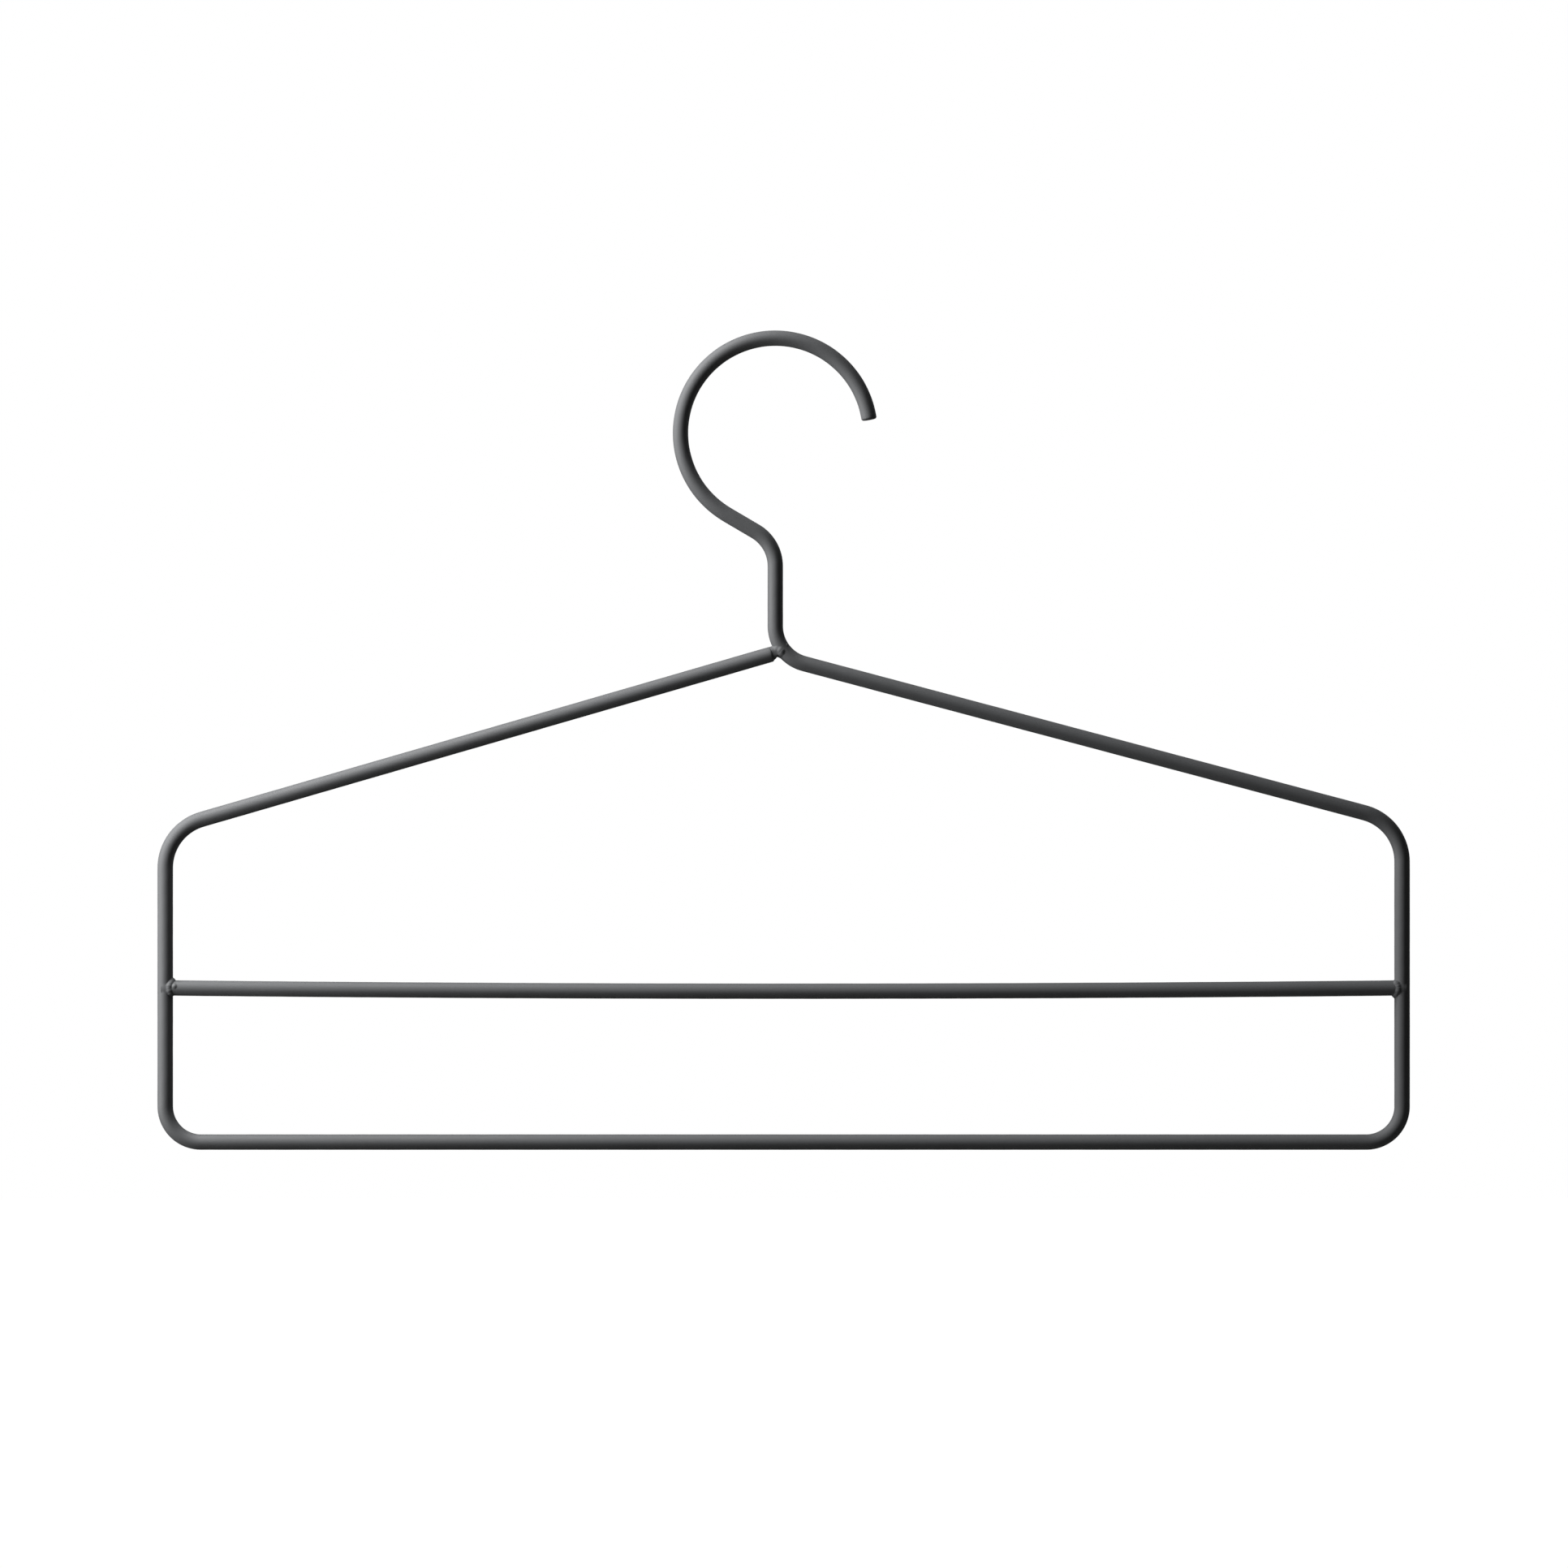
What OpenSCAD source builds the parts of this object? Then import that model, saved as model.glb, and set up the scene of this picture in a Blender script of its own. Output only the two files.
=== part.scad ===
// Trouser hanger of bent and welded steel wire, powder coated.
// Millimetres. The hanger lies in the XZ plane: X to the right, Z up, Y through the wire.
// The origin is the hook seat: the highest point inside the hook, where it rests on a rail.

/* [Wire] */
// Diameter of the frame wire over its coat
wire_d = 5.2; // [3.4:0.1:7]
// Diameter of the trouser bar over its coat
bar_d = 5.2; // [3.4:0.1:7]
// Radius of the dressed edge on each cut end
edge_r = 0.7; // [0.2:0.1:1.2]

/* [Hook] */
// Inner diameter of the hook
hook_inner_d = 58.4; // [44:0.2:80]
// Angle of the tip above the hook's middle
tip_angle = 9.3; // [-30:0.1:50]
// Slope below horizontal of the straight run under the hook
run_angle = 30.5; // [22:0.5:45]
// Centreline radius of the bend into the neck
swan_bend_r = 13.5; // [8:0.5:17]

/* [Neck] */
// Length of the neck between the corners at its two ends
neck_len = 37.9; // [28:0.1:70]
// Centreline radius of the bend from the neck into the right shoulder
neck_bend_r = 13; // [9:0.5:19]
// Distance from the frame's middle to the neck, towards the left
neck_shift = 2.8; // [0:0.1:12]

/* [Frame] */
// Overall width of the frame
frame_w = 420; // [320:1:520]
// Height of the neck's lower corner above the bottom wire
neck_h = 163; // [140:0.5:220]
// Height of the left shoulder's line above the neck's lower corner, at the neck
left_rise = 1; // [0:0.1:3]
// Height of the left shoulder's corner above the bottom wire
left_shoulder_h = 104.6; // [85:0.1:125]
// Height of the right shoulder's corner above the bottom wire
right_shoulder_h = 107.1; // [85:0.1:125]
// Centreline radius of the two shoulder corners
shoulder_bend_r = 17; // [9:0.5:30]
// Centreline radius of the two bottom corners
foot_bend_r = 12; // [8:0.5:24]

/* [Trouser bar] */
// Height of the trouser bar above the bottom wire
bar_h = 51.7; // [30:0.1:62]
// Depth that welding presses the bar's ends into the outline of the legs
set_down = 1; // [0.3:0.1:1.6]

/* [Welds] */
// Gap at the top between the left shoulder's cut end and the neck, filled by the weld
root_gap = 1.2; // [0.3:0.1:2]
// Depth of the metal in that gap under the wire's surface
root_dip = 0.1; // [0.05:0.05:0.3]
// Radius of the weld bead
bead_r = 1.2; // [0.9:0.1:1.8]
// Depth of the bead's middle under the front and back of the wires, and all round at the neck
bead_sink = 0.8; // [0.4:0.1:1]
// Angle round the joint from one ripple of the bead to the next
ripple_step = 18; // [12:1:24]

/* [Hidden] */
coat_colour = "#3b3c3d";
$fn = 96;

// Degrees from one turn that is tried to the next, and the stretch that ends the search
nudge = 1e-4;
max_stretch = 2e-9;

wire_r = wire_d / 2;
bar_r = bar_d / 2;

// Places in the hanger's plane are [x, z] pairs, on the wire's centreline
hook_r = hook_inner_d / 2 + wire_r;
hook_centre = [0, -hook_inner_d / 2];
swan_turn = clean_turn(90 - run_angle);
hook_half_turn = clean_turn((180 + swan_turn - tip_angle) / 2);
hook_end_angle = 180 + swan_turn;
hook_end = on_circle(hook_centre, hook_r, hook_end_angle);
swan_corner = hook_centre - [0, hook_r / sin(swan_turn)];
neck_corner = swan_corner - [0, neck_len];

left_x = neck_shift - (frame_w - wire_d) / 2;
right_x = neck_shift + (frame_w - wire_d) / 2;
bottom_z = neck_corner.y - neck_h;
bar_z = bottom_z + bar_h;
left_turn = clean_turn(atan2(-left_x, neck_h + left_rise - left_shoulder_h));
neck_turn = clean_turn(atan2(right_x, neck_h - right_shoulder_h));
left_shoulder = neck_corner + [left_x, left_rise + left_x / tan(left_turn)];
right_shoulder = neck_corner + [right_x, -right_x / tan(neck_turn)];

// The left shoulder stops short of the bend from the neck into the right shoulder
left_dir = unit(neck_corner + [0, left_rise] - left_shoulder);
left_up = [-left_dir.y, left_dir.x];
neck_bend_centre = neck_corner + [neck_bend_r, trim(neck_turn, neck_bend_r)];
left_cut = on_left_shoulder(wire_r, neck_bend_r + wire_r + root_gap) - left_up * wire_r - left_dir * edge_r;

// Every corner of the wire from the hook to the left shoulder's cut end, with its bend's radius
corners = [
    [hook_end, 0],
    [swan_corner, swan_bend_r],
    [neck_corner, neck_bend_r],
    [right_shoulder, shoulder_bend_r],
    [[right_x, bottom_z], foot_bend_r],
    [[left_x, bottom_z], foot_bend_r],
    [left_shoulder, shoulder_bend_r],
    [left_cut, 0],
];

// The bending plan: how far the wire is fed, then how far it turns to the left and at what radius.
// The hook is rolled in two halves, because no bend here may pass a half turn.
bending_plan = [
    [0, hook_half_turn, hook_r],
    [0, hook_half_turn, hook_r],
    for (i = [1 : len(corners) - 1]) [
        norm(corners[i][0] - corners[i - 1][0]) - trim_at(i - 1) - trim_at(i),
        turn_at(i),
        corners[i][1]
    ],
];

// Most that a bend is made too long before it is cut square
overrun_angle = 5;

function unit(v) = v / norm(v);

// A turn is nudged, by some hundredths of a degree, to one whose sine and cosine still make a unit
// vector when they are written with six digits. Then no bend misses the next run by a hair.
function six_digits(x) = round(x * 1e6) / 1e6;

function stretch(turn) = abs(norm([six_digits(cos(turn)), six_digits(sin(turn))]) - 1);

function clean_turn(turn) = stretch(turn) < max_stretch ? turn : clean_turn(turn + nudge);

function angle_of(v) = atan2(v.y, v.x);

function on_circle(centre, r, angle) = centre + r * [cos(angle), sin(angle)];

// Length that a bend takes from the straight run on each side of its corner
function trim(turn, r) = r * tan(abs(turn) / 2);

function is_bent(i) = i > 0 && i < len(corners) - 1;

function turn_at(i) =
    is_bent(i)
        ? let(
            before = corners[i][0] - corners[i - 1][0],
            after = corners[i + 1][0] - corners[i][0]
        ) atan2(cross(before, after), before * after)
        : 0;

function trim_at(i) = trim(turn_at(i), corners[i][1]);

// Place `up` above the left shoulder's centreline and `rho` from the centre of the neck's bend
function on_left_shoulder(up, rho) =
    let(
        start = left_shoulder + left_up * up,
        along = (neck_bend_centre - start) * left_dir,
        aside = (neck_bend_centre - start) * left_up
    )
    start + left_dir * (along - sqrt(rho * rho - aside * aside));

// Distance from the middle of a frame wire to its surface, `across` from its axis
function wire_depth(across) = sqrt(max(0, wire_r * wire_r - across * across));

// Stands a shape that is drawn in XY, with Z towards the front, upright in the hanger's plane
module in_hanger_plane() {
    rotate([90, 0, 0]) children();
}

// The wire is drawn along +X, and bends to the left, towards +Y, or to the right
module straight_run(length, d = wire_d) {
    rotate([0, 90, 0]) cylinder(h = length, d = d);
}

module after_bend(turn, r) {
    side = sign(turn) * r;
    translate([0, side, 0]) rotate([0, 0, turn]) translate([0, -side, 0]) children();
}

// An arc that is cut square exactly where the next run starts
module bent_run(turn, r) {
    difference() {
        mirror([0, turn < 0 ? 1 : 0, 0])
            translate([0, r, 0])
                rotate_extrude(angle = abs(turn) + overrun_angle, start = -90)
                    translate([r, 0]) circle(d = wire_d);
        after_bend(turn, r) translate([0, -wire_d, -wire_d]) cube(2 * wire_d);
    }
}

// The last edge_r of a cut end, with its dressed edge
module cut_end() {
    rotate([0, 90, 0]) rotate_extrude() {
        square([wire_r - edge_r, edge_r]);
        intersection() {
            translate([wire_r - edge_r, 0]) circle(r = edge_r);
            translate([wire_r - edge_r, 0]) square(edge_r);
        }
    }
}

// The bending plan from step i to the end
module bent_wire(i = 0) {
    feed = bending_plan[i][0];
    turn = bending_plan[i][1];
    r = bending_plan[i][2];
    if (feed > 0) straight_run(feed);
    translate([feed, 0, 0])
        if (i < len(bending_plan) - 1) {
            bent_run(turn, r);
            after_bend(turn, r) bent_wire(i + 1);
        } else {
            cut_end();
        }
}

module frame_shape() {
    start = hook_end_angle - 2 * hook_half_turn;
    in_hanger_plane() translate(on_circle(hook_centre, hook_r, start)) rotate([0, 0, start + 90]) {
        mirror([1, 0, 0]) cut_end();
        bent_wire();
    }
}

// The stretch of a leg that the trouser bar meets
module leg_stub(x) {
    translate([x, 0, bar_z]) cylinder(h = 4 * bar_d, d = wire_d, center = true);
}

// A straight rod between the legs, its ends coped to them
module bar_shape() {
    reach = wire_r - set_down;
    difference() {
        in_hanger_plane()
            translate([left_x + reach, bar_z]) straight_run(right_x - left_x - 2 * reach, bar_d);
        leg_stub(left_x);
        leg_stub(right_x);
    }
}

// A weld bead, with one drop of metal for each ripple. Tilt turns the drops' poles from upright.
module bead(places, tilt = 0) {
    for (place = places) translate(place) rotate([tilt, 0, 0]) sphere(r = bead_r);
}

// The seam where the trouser bar leaves a leg towards +X (side 1) or -X (side -1), between two angles
// round the bar
function bar_seam(leg_x, side, from, to) =
    [for (a = [from : ripple_step : to]) [
        leg_x + side * wire_depth(bar_r * cos(a)),
        -(bar_r - bead_sink) * cos(a),
        bar_z + bar_r * sin(a)
    ]];

module bar_weld(leg_x, side, from, to) {
    difference() {
        bead(bar_seam(leg_x, side, from, to));
        leg_stub(leg_x);
        bar_shape();
    }
}

// Places a shape that is drawn along +X at the left shoulder's cut end
module along_left_shoulder() {
    in_hanger_plane() translate(left_cut) rotate([0, 0, angle_of(left_dir)]) children();
}

// The neck's bend, carried on all the way round
module neck_bend_ring() {
    in_hanger_plane() translate(neck_bend_centre)
        rotate_extrude() translate([neck_bend_r, 0]) circle(d = wire_d);
}

// The seam where the left shoulder, carried on past its cut end, meets the outside of the neck's bend,
// at bead_sink under their surfaces
neck_seam = [for (a = [ripple_step / 2 : ripple_step : 359])
    let(
        depth = wire_r - bead_sink,
        place = on_left_shoulder(depth * sin(a), neck_bend_r + depth * abs(sin(a)))
    )
    [place.x, -depth * cos(a), place.y]];

module frame_wire() {
    color(coat_colour) frame_shape();
}

module trouser_bar() {
    color(coat_colour) bar_shape();
}

// The weld fills the gap up to the cut face. The dressed edge stays open under the bead.
module neck_weld() {
    root_length = norm(on_left_shoulder(0, neck_bend_r) - left_cut);
    color(coat_colour) difference() {
        union() {
            along_left_shoulder() straight_run(root_length, wire_d - 2 * root_dip);
            bead(neck_seam, tilt = 90);
        }
        neck_bend_ring();
        along_left_shoulder() translate([edge_r, 0, 0]) mirror([1, 0, 0]) straight_run(2 * wire_d);
    }
}

module left_bar_weld() {
    color(coat_colour) bar_weld(left_x, 1, -ripple_step, 180 + ripple_step);
}

module right_bar_weld() {
    color(coat_colour) bar_weld(right_x, -1, 180 - ripple_step, 360 + ripple_step);
}

frame_wire();
trouser_bar();
neck_weld();
left_bar_weld();
right_bar_weld();
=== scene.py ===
# %% [markdown]
# # A trouser hanger of bent steel wire
#
# The real hanger is five pieces of steel: one long wire that is bent into the hook, neck, shoulders, legs
# and bottom, one straight trouser bar, and three welds. All of it is powder coated after welding, so the
# coat runs over every joint without a break.
#
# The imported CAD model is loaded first. It fixes every place and size, and each piece made here stands for
# one of its nodes. The CAD wires are right in size, but their meshes are coarse, so they are drawn again
# as fine swept surfaces.

# %% Load the frame
import math

import bpy
import numpy as np
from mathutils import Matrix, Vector


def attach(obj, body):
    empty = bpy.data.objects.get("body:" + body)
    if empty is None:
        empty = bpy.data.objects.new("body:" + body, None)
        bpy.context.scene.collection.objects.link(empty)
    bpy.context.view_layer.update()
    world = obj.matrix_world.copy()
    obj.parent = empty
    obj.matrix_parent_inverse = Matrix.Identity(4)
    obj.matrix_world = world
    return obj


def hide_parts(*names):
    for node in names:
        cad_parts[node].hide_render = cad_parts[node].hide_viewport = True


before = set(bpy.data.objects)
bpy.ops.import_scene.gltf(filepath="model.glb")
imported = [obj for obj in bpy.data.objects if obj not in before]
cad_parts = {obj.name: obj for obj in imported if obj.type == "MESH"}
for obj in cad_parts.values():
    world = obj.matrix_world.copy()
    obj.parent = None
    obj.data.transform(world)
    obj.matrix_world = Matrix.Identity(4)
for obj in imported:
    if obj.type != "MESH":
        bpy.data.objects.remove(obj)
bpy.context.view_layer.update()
print("CAD nodes:", sorted(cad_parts))

# %% [markdown]
# ## Sizes
#
# A wire hanger is a bending plan: a few corners, each with its radius. The same corners as in the CAD
# model are written here in millimetres, in the hanger's plane, as (x, z). The origin is the highest point
# inside the hook. Working in millimetres keeps the numbers easy to read, and they are turned to metres
# only when a mesh is made.

# %% Sizes of the wires and corners, in millimetres and degrees
MM = 0.001
WIRE_R = 2.6
HOOK_INNER_R = 29.2
TIP_ANGLE = 9.2826
SWAN_TURN = 59.5166
NECK_TURN = 75.1082
LEFT_TURN = 73.8301
NECK_LENGTH = 37.9
NECK_HEIGHT = 163.0
LEFT_RISE = 1.0
LEG_X = (-204.6, 210.2)
BAR_HEIGHT = 51.7
SWAN_BEND_R = 13.5
NECK_BEND_R = 13.0
SHOULDER_BEND_R = 17.0
FOOT_BEND_R = 12.0
ROOT_GAP = 1.2
DRESSED_EDGE_R = 0.7

hook_r = HOOK_INNER_R + WIRE_R
hook_centre = np.array([0.0, -HOOK_INNER_R])
hook_end_angle = 180 + SWAN_TURN
swan_corner = hook_centre - [0, hook_r / math.sin(math.radians(SWAN_TURN))]
neck_corner = swan_corner - [0, NECK_LENGTH]
bottom_z = neck_corner[1] - NECK_HEIGHT
bar_z = bottom_z + BAR_HEIGHT
right_shoulder = neck_corner + [LEG_X[1], -LEG_X[1] / math.tan(math.radians(NECK_TURN))]
left_shoulder = neck_corner + [LEG_X[0], LEFT_RISE + LEG_X[0] / math.tan(math.radians(LEFT_TURN))]
print("neck corner", neck_corner.round(2), "bar at z", round(bar_z, 2), "bottom at z", round(bottom_z, 2))

# %% [markdown]
# ## The path of the bent wire
#
# A bender feeds the wire straight, then rolls it round a former. So the wire's middle line is straight
# runs joined by true arcs. Bezier curves could be drawn by eye instead, but arcs from the bend radii give
# the same even corners as the real tool, and they land on the CAD model.

# %% Straight runs and arcs
ARC_STEP = 2.0


def unit(vectors):
    """Each vector divided by its own length."""
    vectors = np.asarray(vectors, dtype=float)
    return vectors / np.linalg.norm(vectors, axis=-1, keepdims=True)


def arc(centre, radius, start, turn):
    """Centre + radius * (cos a, sin a), for angles a from start to start + turn degrees."""
    count = math.ceil(abs(turn) / ARC_STEP) + 1
    angle = np.radians(start + np.linspace(0, turn, count))
    return centre + radius * np.stack([np.cos(angle), np.sin(angle)], axis=1)


def bend(before, corner, after, radius):
    """The arc that rounds a corner. It starts radius * tan(turn / 2) before the corner, square to the run
    that it leaves, so both runs touch it without a kink."""
    into = unit(corner - before)
    out = unit(after - corner)
    turn = math.degrees(math.atan2(into[0] * out[1] - into[1] * out[0], into @ out))
    aside = math.copysign(1, turn) * np.array([-into[1], into[0]])
    centre = corner - into * radius * math.tan(math.radians(abs(turn) / 2)) + aside * radius
    return arc(centre, radius, math.degrees(math.atan2(-aside[1], -aside[0])), turn)


def evenly_spaced(path, spacing):
    """The same path walked in equal steps: x and z are read off against the distance along it."""
    walked = np.concatenate([[0], np.cumsum(np.linalg.norm(np.diff(path, axis=0), axis=1))])
    steps = np.linspace(0, walked[-1], math.ceil(walked[-1] / spacing) + 1)
    return np.stack([np.interp(steps, walked, path[:, 0]), np.interp(steps, walked, path[:, 1])], axis=1)


# %% The wire's middle line, from the hook's tip to the left shoulder's cut end
left_direction = unit(neck_corner + [0, LEFT_RISE] - left_shoulder)
left_up = np.array([-left_direction[1], left_direction[0]])
neck_bend_centre = neck_corner + [
    NECK_BEND_R, NECK_BEND_R * math.tan(math.radians(NECK_TURN / 2))
]


def on_left_shoulder(up, rho):
    """The places up above the left shoulder's middle line, on the circles of radius rho round the centre
    of the neck's bend."""
    start = left_shoulder + np.multiply.outer(up, left_up)
    along = (neck_bend_centre - start) @ left_direction
    aside = (neck_bend_centre - start) @ left_up
    return start + np.multiply.outer(along - np.sqrt(rho**2 - aside**2), left_direction)


left_cut = on_left_shoulder(WIRE_R, NECK_BEND_R + WIRE_R + ROOT_GAP) - left_up * WIRE_R
wire_corners = [
    hook_centre + hook_r * np.array([
        math.cos(math.radians(hook_end_angle)), math.sin(math.radians(hook_end_angle))
    ]),
    swan_corner,
    neck_corner,
    right_shoulder,
    np.array([LEG_X[1], bottom_z]),
    np.array([LEG_X[0], bottom_z]),
    left_shoulder,
    left_cut,
]
bend_radii = [SWAN_BEND_R, NECK_BEND_R, SHOULDER_BEND_R, FOOT_BEND_R, FOOT_BEND_R, SHOULDER_BEND_R]
wire_path = np.concatenate(
    [arc(hook_centre, hook_r, TIP_ANGLE, hook_end_angle - TIP_ANGLE)]
    + [
        bend(wire_corners[i], wire_corners[i + 1], wire_corners[i + 2], radius)
        for i, radius in enumerate(bend_radii)
    ]
    + [left_cut[None]]
)
wire_length = np.linalg.norm(np.diff(wire_path, axis=0), axis=1).sum()
print("wire length", round(wire_length), "mm in", len(wire_path), "points")

# %% [markdown]
# ## A skin from a grid of points
#
# Every piece of this hanger is a tube of some kind: rings of points, one after another. One function
# closes such a grid into a mesh. It joins neighbouring points to quads, wraps each ring onto itself, and
# closes the two ends with fans, so there is no seam and no hole. Blender's own curve bevel could make a
# tube too, but it can't dress its ends or change its radius round a ring. The mesh's volume tells which way
# its faces point: it comes out negative where they point inwards, and then they are turned round.

# %% Make a closed mesh from rings
def add_skin(name, rings):
    """A mesh from rings[ring, place, xyz] in millimetres. A pole at the middle of the first and of the last
    ring closes the ends. Its volume is a sixth of the sum of p . (q x r) over its triangles p, q, r."""
    count, around = rings.shape[:2]
    points = np.concatenate([rings.reshape(-1, 3), rings[[0, -1]].mean(axis=1)])
    index = np.arange(count * around).reshape(count, around)
    this_ring, next_ring = index[:-1], index[1:]
    quads = np.stack(
        [this_ring, np.roll(this_ring, -1, axis=1), np.roll(next_ring, -1, axis=1), next_ring], axis=-1
    ).reshape(-1, 4)
    first, last = index[0], index[-1]
    start_fan = np.stack([np.full(around, count * around), np.roll(first, -1), first], axis=1)
    end_fan = np.stack([np.full(around, count * around + 1), last, np.roll(last, -1)], axis=1)
    fans = np.concatenate([start_fan, end_fan])
    p, q, r = points[np.concatenate([quads[:, [0, 1, 2]], quads[:, [0, 2, 3]], fans])].transpose(1, 0, 2)
    volume = np.einsum("ij,ij->", p, np.cross(q, r)) / 6
    if volume < 0:
        quads, fans = quads[:, ::-1], fans[:, ::-1]
    sizes = np.concatenate([np.full(len(quads), 4), np.full(len(fans), 3)])
    mesh = bpy.data.meshes.new(name)
    mesh.vertices.add(len(points))
    mesh.vertices.foreach_set("co", (points * MM).ravel())
    mesh.loops.add(int(sizes.sum()))
    mesh.loops.foreach_set("vertex_index", np.concatenate([quads.ravel(), fans.ravel()]))
    mesh.polygons.add(len(sizes))
    mesh.polygons.foreach_set("loop_start", np.concatenate([[0], np.cumsum(sizes)[:-1]]))
    mesh.polygons.foreach_set("use_smooth", np.ones(len(sizes), dtype=bool))
    mesh.update(calc_edges=True)
    mesh.validate()
    piece = bpy.data.objects.new(name, mesh)
    bpy.context.scene.collection.objects.link(piece)
    print(name, len(quads), "quads, volume", round(abs(volume), 1), "mm3")
    return piece


# %% [markdown]
# ## The frame wire
#
# The frame is one wire of 5 mm with a coat of 0.1 mm on each side. Two things show that it isn't a perfect
# cylinder. Its ends were cut square and lightly dressed before coating, so the tip of the hook has a small
# round edge. And a powder coat melts and flows before it sets, so its thickness drifts by some hundredths
# of a millimetre, which makes the long highlights waver.

# %% Sweep a round wire along a path
AROUND = 48
WIRE_STEP = 0.9
CAP_RINGS = (0.04, 0.35, 0.7, 0.95)
EDGE_RINGS = 7
COAT_DRIFT = 0.03
# Each wave's length along the wire, how often it goes round the wire, and where it starts
COAT_WAVES = ((17.0, 1, 0.0), (41.0, -2, 1.0), (7.3, 3, 2.0))


def drift_of_coat(count, step):
    """How far the coat lies under its full thickness: COAT_DRIFT * (1 + the mean of the waves) / 2, where
    a wave is sin(2 pi * along / length + turns * round_it + start)."""
    along = np.arange(count)[:, None] * step
    round_it = np.linspace(0, 2 * np.pi, AROUND, endpoint=False)[None]
    waves = [
        np.sin(2 * np.pi * along / length + turns * round_it + start) for length, turns, start in COAT_WAVES
    ]
    return COAT_DRIFT * (1 + np.mean(waves, axis=0)) / 2


def swept_wire(path, radius, edge):
    """Rings of points round a path in the hanger's plane. Each ring is centre + r * (cos t * side +
    sin t * back), where side is square to the path in the plane and back is +Y. Both ends are carried on
    by a quarter circle of radius edge and a flat cap."""
    tangent = unit(np.gradient(path, axis=0))
    quarter = np.radians(np.linspace(90, 0, EDGE_RINGS))
    cap_r = np.concatenate([np.array(CAP_RINGS) * (radius - edge), radius - edge + edge * np.cos(quarter)])
    cap_out = np.concatenate([np.full(len(CAP_RINGS), edge), edge * np.sin(quarter)])
    centres = np.concatenate([
        path[0] - cap_out[:, None] * tangent[0],
        path[1:-1],
        path[-1] + cap_out[::-1, None] * tangent[-1],
    ])
    tangents = np.concatenate([
        np.repeat(tangent[:1], len(cap_r), axis=0),
        tangent[1:-1],
        np.repeat(tangent[-1:], len(cap_r), axis=0),
    ])
    radii = np.concatenate([cap_r, np.full(len(path) - 2, radius), cap_r[::-1]])[:, None]
    radii = radii * (1 - drift_of_coat(len(centres), WIRE_STEP) / radius)
    angle = np.linspace(0, 2 * np.pi, AROUND, endpoint=False)
    side = np.stack([-tangents[:, 1], np.zeros(len(tangents)), tangents[:, 0]], axis=1)
    back = np.array([0.0, 1.0, 0.0])
    middle = np.stack([centres[:, 0], np.zeros(len(centres)), centres[:, 1]], axis=1)
    swing = np.cos(angle)[None, :, None] * side[:, None] + np.sin(angle)[None, :, None] * back
    return middle[:, None] + radii[:, :, None] * swing


frame_wire = add_skin(
    "coated_frame_wire", swept_wire(evenly_spaced(wire_path, WIRE_STEP), WIRE_R, DRESSED_EDGE_R)
)
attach(frame_wire, "root")
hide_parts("frame_wire")

# %% [markdown]
# ## The trouser bar
#
# The bar is a straight piece of the same wire between the legs. In the photo its middle hangs a little
# lower than its ends, as a long thin bar does after welding. A shallow parabola gives that bow. Welding
# presses the real bar's ends about a millimetre into the legs. Here they go on further in, where nothing
# of them shows.

# %% A straight bar with a small bow
BAR_BOW = 1.1
BAR_SHORTER = 1.0
BAR_POINTS = 460

bar_x = np.linspace(LEG_X[0] + BAR_SHORTER, LEG_X[1] - BAR_SHORTER, BAR_POINTS)
bar_middle = (LEG_X[0] + LEG_X[1]) / 2
bar_half = (LEG_X[1] - LEG_X[0]) / 2


def bar_centre_z(x):
    """The bar's height: a parabola that is BAR_BOW lower in the middle than at the legs."""
    return bar_z - BAR_BOW * (1 - ((x - bar_middle) / bar_half) ** 2)


trouser_bar = add_skin(
    "coated_trouser_bar", swept_wire(np.stack([bar_x, bar_centre_z(bar_x)], axis=1), WIRE_R, DRESSED_EDGE_R)
)
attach(trouser_bar, "root")
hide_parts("trouser_bar")

# %% [markdown]
# ## The welds
#
# A weld under a powder coat is a soft shape: the bead fills the crease between two wires, its ripples
# show through, and the coat rounds every hollow. Drawing that by hand is hard. It is easy as a distance:
# for each point in space, the distance to each wire and to each drop of the bead, blended so that close
# surfaces run into each other. The weld's skin is where that blended distance is zero.
#
# Each joint here is the end of one wire against the side of another. So the skin is drawn as a sleeve on
# the ending wire's middle line: rays go out square to that line, and each stops where it meets the
# surface. The wires are made a hair thinner for this, so that the sleeve shows only where weld metal
# stands out of them, and its two ends stay hidden in the steel.

# %% Blended distances
HAIR = 0.05
COAT_BLEND = 0.6
DROP_DRIFT = 0.06


def blend(first, second, width):
    """The smaller of two distances, rounded off where they differ by less than width."""
    near = np.clip(width - np.abs(first - second), 0, None) / width
    return np.minimum(first, second) - near**3 * width / 6


def drop_sizes(radius, count):
    """Radii of drops that differ a little, so that the bead looks made by hand: radius + DROP_DRIFT *
    sin(2.4 * the drop's number)."""
    return radius + DROP_DRIFT * np.sin(2.4 * np.arange(count))


def distance_to_drops(points, drops, radii):
    """The distance from each point to the surface of the nearest drop of the bead."""
    offset = points[:, None] - drops[None]
    return (np.sqrt(np.einsum("pij,pij->pi", offset, offset)) - radii[None]).min(axis=1)


# %% A sleeve of weld metal round the end of a wire
SLEEVE_RINGS = 110
SLEEVE_AROUND = 144
HALVINGS = 16


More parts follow.
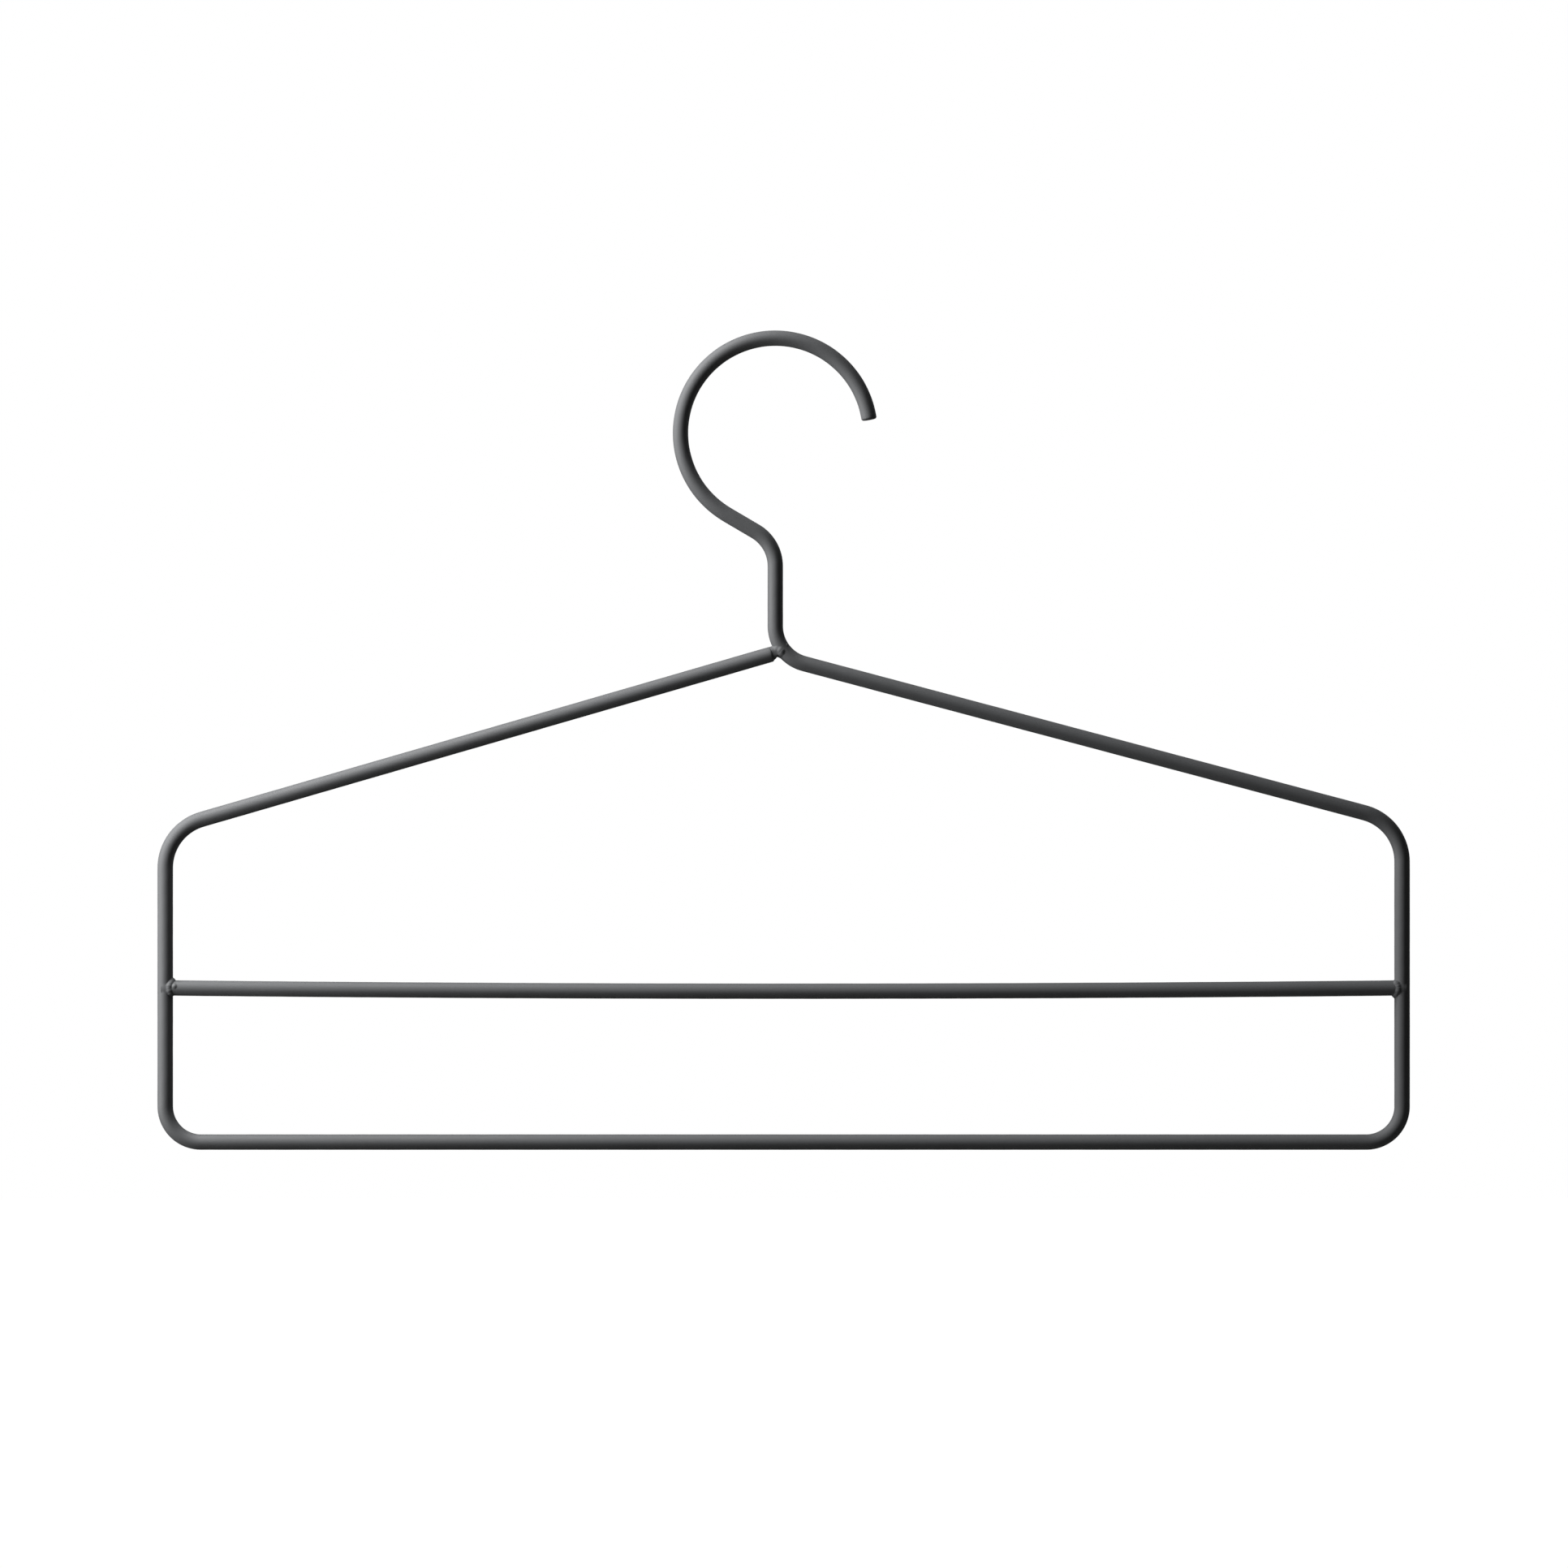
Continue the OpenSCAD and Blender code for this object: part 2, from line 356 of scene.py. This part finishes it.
def weld_sleeve(start, direction, length, reach, distance):
    """Rings of points round a line from start, in the hanger's plane. Each point is start + s * direction
    + r * (cos a * aside + sin a * front). There r is how far the ray runs before distance turns positive,
    found by halving, and at most reach."""
    aside = np.array([-direction[1], 0.0, direction[0]])
    front = np.array([0.0, -1.0, 0.0])
    axis = np.array([direction[0], 0.0, direction[1]])
    s = np.linspace(0, length, SLEEVE_RINGS)
    angle = np.linspace(0, 2 * np.pi, SLEEVE_AROUND, endpoint=False)
    middle = np.array([start[0], 0.0, start[1]]) + s[:, None] * axis
    rays = np.cos(angle)[:, None] * aside + np.sin(angle)[:, None] * front
    low = np.zeros((SLEEVE_RINGS, SLEEVE_AROUND))
    high = np.full((SLEEVE_RINGS, SLEEVE_AROUND), float(reach))
    for _ in range(HALVINGS):
        half = (low + high) / 2
        points = middle[:, None] + rays[None] * half[..., None]
        inside = distance(points.reshape(-1, 3)).reshape(half.shape) < 0
        low = np.where(inside, half, low)
        high = np.where(inside, high, half)
    return middle[:, None] + rays[None] * low[..., None]


# %% [markdown]
# ## The neck weld
#
# The left shoulder is cut square and stops short of the neck, so weld metal fills the gap. In the photo
# the fill is flush with the shoulder above and below, but sunk at the front, where the shoulder's dressed
# edge shows as a dark notch. Under the joint the fill slopes up to the neck. Over it lies the bead: from
# the top of the shoulder across the front of the bend and back under it, and the same behind.

# %% The neck weld
BEHIND_CUT = 2.6
NECK_SLEEVE = 9.0
NECK_SLEEVE_RISE = 0.9
FLUSH_DIP = 0.08
FRONT_DIP = 0.45
UNDERSIDE = np.array([0.76, -104.2])
UNDERSIDE_SLOPE = 48
UNDERSIDE_BLEND = 0.8
ON_THE_LINE = 0.01
DROPS = 22
DROP_DEPTH = 1.0
DROP_R = 1.3
APEX_OFFSET = 0.45
LOWER_SHARE = 0.5

underside_normal = np.array([
    math.sin(math.radians(UNDERSIDE_SLOPE)), -math.cos(math.radians(UNDERSIDE_SLOPE))
])


def neck_seam(angle, depth):
    """The bead's line on the neck's bend, at depth under its surface. It leaves the top of the shoulder,
    passes in front of the bend, keeping APEX_OFFSET of a radius off its middle line, and comes back below,
    where LOWER_SHARE draws it in to the underside of the fill."""
    r = WIRE_R - depth
    up = r * np.sin(angle) * np.where(np.sin(angle) > 0, 1.0, LOWER_SHARE)
    out = np.sqrt((np.sin(angle) ** 2 + APEX_OFFSET**2) / (1 + APEX_OFFSET**2))
    place = on_left_shoulder(up, NECK_BEND_R + r * out)
    return np.stack([place[:, 0], -r * np.cos(angle), place[:, 1]], axis=1)


drop_angle = np.linspace(0, 2 * np.pi, DROPS, endpoint=False)
neck_drops = neck_seam(drop_angle, DROP_DEPTH)
drop_radii = drop_sizes(DROP_R, DROPS)


def neck_distance(points):
    """The fill, then the neck's bend, then the drops, each run into the last. The fill is a cylinder on
    the shoulder's middle line, cut off by the sloped underside. It dips by FLUSH_DIP all round and by
    FRONT_DIP * (y / its radius) ** 4 more towards the front and back. The bend is a torus: the distance to
    its circle less the wire's radius."""
    x, y, z = points.T
    in_plane = np.stack([x, z], axis=1)
    up = (in_plane - left_cut) @ left_up
    from_line = np.hypot(up, y)
    dip = FLUSH_DIP + FRONT_DIP * (y / np.maximum(from_line, ON_THE_LINE)) ** 4
    fill = from_line - WIRE_R + dip
    below = (in_plane - UNDERSIDE) @ underside_normal
    fill = -blend(-fill, -below, UNDERSIDE_BLEND)
    bend = np.hypot(np.hypot(*(in_plane - neck_bend_centre).T) - NECK_BEND_R, y) - WIRE_R + HAIR
    drops = distance_to_drops(points, neck_drops, drop_radii)
    return blend(blend(fill, bend, COAT_BLEND), drops, COAT_BLEND)


neck_weld = add_skin("coated_neck_weld", weld_sleeve(
    left_cut - BEHIND_CUT * left_direction, left_direction, NECK_SLEEVE, WIRE_R + NECK_SLEEVE_RISE,
    neck_distance
))
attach(neck_weld, "root")
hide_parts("neck_weld")

# %% [markdown]
# ## The two bar welds
#
# Each end of the trouser bar has a bead on one side only, as a welder leaves it who tacks the bar from the
# easy side: over the top at the left end and under the bottom at the right end. Elsewhere the coat alone
# rounds the crease. So both sleeves go all the way round, and only the drops stop.

# %% The bar welds
BEHIND_LEG = 1.2
BAR_SLEEVE = 6.5
BAR_SLEEVE_RISE = 2.2
BAR_DROP_DEPTH = 0.85
BAR_DROP_R = 1.15
BAR_DROP_STEP = 18
CREST_OFFSET = 0.85
CREST_STRETCH = 1.35
CREASE = 0.8
LAST_DROP_R = 0.95


def bar_bead(leg_x, side, angle):
    """The bead's line round the end of the bar. Side is the way from the leg to the bar. The line keeps
    CREST_OFFSET of its radius off the leg's middle, because the bar's end is pressed into the leg, and it
    stands CREST_STRETCH times as tall as it is deep."""
    r = WIRE_R - BAR_DROP_DEPTH
    return np.stack([
        leg_x + side * r * np.sqrt(np.sin(angle) ** 2 + CREST_OFFSET**2),
        -r * np.cos(angle),
        bar_centre_z(leg_x) + CREST_STRETCH * r * np.sin(angle),
    ], axis=1)


def bar_weld(name, node, leg_x, side, first, last, last_drop):
    """A weld sleeve round one end of the bar, with drops from the first to the last angle in degrees, and
    one more where the welder stopped, given from the leg's and the bar's middle. Leg and bar are
    cylinders: the distance to each middle line less the wire's radius."""
    bead = bar_bead(leg_x, side, np.radians(np.arange(first, last + 1, BAR_DROP_STEP)))
    radii = np.append(drop_sizes(BAR_DROP_R, len(bead)), LAST_DROP_R)
    drops = np.concatenate([bead, [np.array([leg_x, 0, bar_centre_z(leg_x)]) + last_drop]])

    def distance(points):
        x, y, z = points.T
        leg = np.hypot(x - leg_x, y) - WIRE_R + HAIR
        bar = np.hypot(y, z - bar_centre_z(x)) - WIRE_R + HAIR
        return blend(blend(leg, bar, CREASE), distance_to_drops(points, drops, radii), COAT_BLEND)

    start = np.array([leg_x - side * BEHIND_LEG, bar_centre_z(leg_x)])
    weld = add_skin(name, weld_sleeve(
        start, np.array([side, 0.0]), BAR_SLEEVE, WIRE_R + BAR_SLEEVE_RISE, distance
    ))
    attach(weld, "root")
    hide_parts(node)
    return weld


left_bar_weld = bar_weld(
    "coated_left_bar_weld", "left_bar_weld", LEG_X[0], 1, -36, 216, [3.4, -1.85, 0.6]
)
right_bar_weld = bar_weld(
    "coated_right_bar_weld", "right_bar_weld", LEG_X[1], -1, 144, 396, [-2.1, -1.5, 1.7]
)

# %% [markdown]
# ## The powder coat
#
# Powder coat is a polyester resin that is sprayed on dry and baked at about 200 degrees. It ends as a
# plastic skin, so it is a dielectric with an IOR of about 1.5, not a metal. The photo shows a satin
# anthracite: dark, with soft wide highlights. Close up it has an orange peel of about 1.5 mm and a fine
# grain, which break the highlight's edge. The real grain is finer still, and is drawn as coarse as it has
# to be to show.

# %% Colours and a helper for nodes
def linear(code):
    """An sRGB hex colour as linear red, green, blue and alpha: ((c + 0.055) / 1.055) ** 2.4, or c / 12.92
    for the darkest values."""
    channels = [int(code[i:i + 2], 16) / 255 for i in (1, 3, 5)]
    return [c / 12.92 if c <= 0.04045 else ((c + 0.055) / 1.055) ** 2.4 for c in channels] + [1.0]


def add_node(tree, kind, settings=(), inputs=(), links=()):
    """Adds a node, sets its settings and its sockets, and links sockets of it to outputs of others."""
    node = tree.nodes.new(kind)
    for name, value in dict(settings).items():
        setattr(node, name, value)
    for name, value in dict(inputs).items():
        node.inputs[name].default_value = value
    for name, output in dict(links).items():
        tree.links.new(output, node.inputs[name])
    return node


# %% Satin anthracite powder coat, which gives a dark body with a soft, slightly broken highlight
COAT_COLOUR = "#3b3c3d"
COAT_LIGHTER = "#434446"
COAT_ROUGHNESS = (0.68, 0.78)
DRIFT_MM = 35
NOISE_RANGE = (0.3, 0.7)
PEEL_MM = 1.6
PEEL_HEIGHT_MM = 0.012
GRAIN_MM = 0.28
GRAIN_HEIGHT_MM = 0.004

powder_coat = bpy.data.materials.new("satin_anthracite_powder_coat")
powder_coat.use_nodes = True
tree = powder_coat.node_tree
tree.nodes.clear()
place = add_node(tree, "ShaderNodeTexCoord").outputs["Object"]
print("roughness", COAT_ROUGHNESS, "orange peel", PEEL_MM, "mm, grain", GRAIN_MM, "mm")

# %% Three noises: a slow drift along the wire, the orange peel and the grain
drift = add_node(
    tree, "ShaderNodeTexNoise", inputs={"Scale": 1 / (DRIFT_MM * MM), "Detail": 3.0, "Roughness": 0.6},
    links={"Vector": place},
)
peel = add_node(
    tree, "ShaderNodeTexNoise", inputs={"Scale": 1 / (PEEL_MM * MM), "Detail": 1.0, "Roughness": 0.4},
    links={"Vector": place},
)
grain = add_node(
    tree, "ShaderNodeTexNoise", inputs={"Scale": 1 / (GRAIN_MM * MM), "Detail": 2.0, "Roughness": 0.6},
    links={"Vector": place},
)

# %% The drift moves colour and roughness a little, and peel and grain tilt the surface
tint = add_node(
    tree, "ShaderNodeMix", {"data_type": "RGBA"}, links={"Factor": drift.outputs["Fac"]},
)
tint.inputs["A"].default_value = linear(COAT_COLOUR)
tint.inputs["B"].default_value = linear(COAT_LIGHTER)
roughness = add_node(
    tree, "ShaderNodeMapRange",
    inputs={
        "From Min": NOISE_RANGE[0],
        "From Max": NOISE_RANGE[1],
        "To Min": COAT_ROUGHNESS[0],
        "To Max": COAT_ROUGHNESS[1],
    },
    links={"Value": drift.outputs["Fac"]},
)
peel_bump = add_node(
    tree, "ShaderNodeBump", inputs={"Strength": 1.0, "Distance": PEEL_HEIGHT_MM * MM},
    links={"Height": peel.outputs["Fac"]},
)
grain_bump = add_node(
    tree, "ShaderNodeBump", inputs={"Strength": 1.0, "Distance": GRAIN_HEIGHT_MM * MM},
    links={"Height": grain.outputs["Fac"], "Normal": peel_bump.outputs["Normal"]},
)

# %% The coat's shader, on all five pieces
shader = add_node(
    tree, "ShaderNodeBsdfPrincipled", inputs={"IOR": 1.5, "Metallic": 0.0},
    links={
        "Base Color": tint.outputs["Result"],
        "Roughness": roughness.outputs["Result"],
        "Normal": grain_bump.outputs["Normal"],
    },
)
add_node(tree, "ShaderNodeOutputMaterial", links={"Surface": shader.outputs["BSDF"]})

coated_pieces = (frame_wire, trouser_bar, neck_weld, left_bar_weld, right_bar_weld)
for piece in coated_pieces:
    piece.data.materials.append(powder_coat)
print("powder coat on", len(coated_pieces), "pieces")

# %% [markdown]
# ## The stage
#
# The hanger hangs free, so the plain pale floor lies far below it. Two strip softboxes stand close to the
# left end, one at the side and one above. Both are near enough that the left half is brighter than the
# right. A round wire shows such lamps as a lit flank and a dark one with a soft border between them, which
# is what the photo has on every wire. A large weak fill stands behind on the right. It lights only what
# the front view doesn't show, so that the back stays plain to see.
#
# World and floor are white to the camera, to reflections and to whatever is seen through something clear,
# but they give the hanger only a little light. Black boards round it and below it, which only reflections
# can see, keep the shaded flanks dark, as flags do in a studio.

# %% A flat board
def add_board(name, centre, half_width, half_height, facing, material, flag):
    """A flat rectangle about a centre, square to the direction it faces, in metres. Only reflections see
    one that is a flag."""
    facing = unit(facing)
    guide = np.array([0.0, 1.0, 0.0]) if abs(facing[2]) > 0.9 else np.array([0.0, 0.0, 1.0])
    across = unit(np.cross(guide, facing))
    upward = np.cross(facing, across)
    corners = [
        centre + sx * half_width * across + sy * half_height * upward
        for sx, sy in ((-1, -1), (1, -1), (1, 1), (-1, 1))
    ]
    mesh = bpy.data.meshes.new(name)
    mesh.from_pydata([c.tolist() for c in corners], [], [(0, 1, 2, 3)])
    mesh.materials.append(material)
    board = bpy.data.objects.new(name, mesh)
    board.visible_camera = not flag
    board.visible_diffuse = not flag
    board.visible_shadow = not flag
    bpy.context.scene.collection.objects.link(board)


# %% Matt paint, and light that only the camera sees
MATT = 0.9


def plain_paint(name, colour):
    """A matt paint for the stage."""
    paint = bpy.data.materials.new(name)
    paint.use_nodes = True
    surface = paint.node_tree.nodes["Principled BSDF"]
    surface.inputs["Base Color"].default_value = linear(colour)
    surface.inputs["Roughness"].default_value = MATT
    return paint


def seen_by_camera(tree):
    """1 for what the camera sees, directly, in a reflection or through something clear, and 0 for the
    light that the same surface gives to others."""
    ray = add_node(tree, "ShaderNodeLightPath")
    seen = add_node(
        tree, "ShaderNodeMath", {"operation": "MAXIMUM"},
        links={0: ray.outputs["Is Camera Ray"], 1: ray.outputs["Is Glossy Ray"]},
    )
    seen_or_through = add_node(
        tree, "ShaderNodeMath", {"operation": "MAXIMUM"},
        links={0: seen.outputs[0], 1: ray.outputs["Is Transmission Ray"]},
    )
    return seen_or_through.outputs[0]


# %% The floor
FLOOR_COLOUR = "#e9e9e7"
FLOOR_Z = -1.4
FLOOR_HALF = 12.0
FLOOR_GLOW = 1.1

pale_paint = plain_paint("pale_floor_paint", FLOOR_COLOUR)
tree = pale_paint.node_tree
glow = add_node(
    tree, "ShaderNodeMath", {"operation": "MULTIPLY"}, {1: FLOOR_GLOW}, {0: seen_by_camera(tree)}
)
pale_surface = tree.nodes["Principled BSDF"]
pale_surface.inputs["Emission Color"].default_value = linear(FLOOR_COLOUR)
tree.links.new(glow.outputs[0], pale_surface.inputs["Emission Strength"])
middle = np.array([bar_middle, 0.0, bottom_z / 2]) * MM
add_board("floor", np.array([middle[0], 0, FLOOR_Z]), FLOOR_HALF, FLOOR_HALF, (0, 0, 1), pale_paint, False)
print("floor", round((bottom_z - WIRE_R) * MM - FLOOR_Z, 2), "m under the hanger")

# %% Black boards for reflections
FLAG_COLOUR = "#050505"
FLAG_DISTANCE = 1.2
FLAG_HALF_WIDTH = 1.6
FLAG_HALF_HEIGHT = 2.2

black_cloth = plain_paint("black_flag_cloth", FLAG_COLOUR)
flag_sides = {
    "flag_behind": (0, 1, 0),
    "flag_in_front": (0, -1, 0),
    "flag_right": (1, 0, 0),
    "flag_left": (-1, 0, 0),
    "flag_below": (0, 0, -1),
}
for name, side in flag_sides.items():
    side = np.array(side)
    add_board(
        name, middle + side * FLAG_DISTANCE, FLAG_HALF_WIDTH, FLAG_HALF_HEIGHT, -side, black_cloth, True
    )
print("black boards:", ", ".join(flag_sides))


# %% Softboxes
def add_softbox(name, azimuth, elevation, distance, width, height, power):
    """A rectangular lamp that faces the hanger's middle. Azimuth is in degrees to the left of straight in
    front, elevation in degrees above level, sizes are in metres and the power in watts."""
    azimuth, elevation = math.radians(azimuth), math.radians(elevation)
    direction = np.array([
        -math.cos(elevation) * math.sin(azimuth),
        -math.cos(elevation) * math.cos(azimuth),
        math.sin(elevation),
    ])
    light = bpy.data.lights.new(name, "AREA")
    light.shape = "RECTANGLE"
    light.size = width
    light.size_y = height
    light.energy = power
    lamp = bpy.data.objects.new(name, light)
    lamp.location = middle + direction * distance
    lamp.rotation_mode = "QUATERNION"
    lamp.rotation_quaternion = Vector(direction).to_track_quat("Z", "Y")
    lamp.visible_camera = False
    bpy.context.scene.collection.objects.link(lamp)
    print(name, power, "W at", lamp.location[:])
    return lamp


add_softbox("side_softbox", azimuth=75, elevation=5, distance=0.6, width=0.2, height=0.45, power=5.8)
add_softbox("top_softbox", azimuth=70, elevation=50, distance=0.6, width=0.2, height=0.41, power=8.7)
rear_fill = add_softbox(
    "rear_fill", azimuth=-135, elevation=20, distance=1.5, width=1.0, height=1.0, power=15
)
rear_fill.visible_glossy = False

# %% World
AMBIENT = 0.1

world = bpy.data.worlds.new("white_room")
bpy.context.scene.world = world
world.use_nodes = True
tree = world.node_tree
tree.nodes.clear()
strength = add_node(
    tree, "ShaderNodeMapRange", inputs={"To Min": AMBIENT, "To Max": 1.0},
    links={"Value": seen_by_camera(tree)},
)
background = add_node(tree, "ShaderNodeBackground", links={"Strength": strength.outputs["Result"]})
background.inputs["Color"].default_value = linear("#ffffff")
add_node(tree, "ShaderNodeOutputWorld", links={"Surface": background.outputs["Background"]})
print("light from the room", AMBIENT)

# %% [markdown]
# ## The camera
#
# The photo looks at the hanger straight from the front. Its scale is 3.674 pixels to the millimetre, and
# the picture is 1932 pixels wide, so it spans 525.9 mm at the hanger. The lens follows from that span and
# the distance.

# %% Camera
PIXELS = 1932
PIXELS_PER_MM = 3.674
SEAT_PIXEL = (955.3, 426.25)
CAMERA_DISTANCE = 1.5
SENSOR_WIDTH_MM = 36

span = PIXELS / PIXELS_PER_MM * MM
centre_x = (PIXELS / 2 - SEAT_PIXEL[0]) / PIXELS_PER_MM * MM
centre_z = (SEAT_PIXEL[1] - PIXELS / 2) / PIXELS_PER_MM * MM
camera_data = bpy.data.cameras.new("front_camera")
camera_data.sensor_width = SENSOR_WIDTH_MM
camera_data.lens = SENSOR_WIDTH_MM * CAMERA_DISTANCE / span
camera = bpy.data.objects.new("front_camera", camera_data)
camera.location = (centre_x, -CAMERA_DISTANCE, centre_z)
camera.rotation_euler = (math.radians(90), 0, 0)
bpy.context.scene.collection.objects.link(camera)
bpy.context.scene.camera = camera
bpy.context.scene.view_settings.view_transform = "Standard"
print("lens", round(camera_data.lens, 2), "mm")
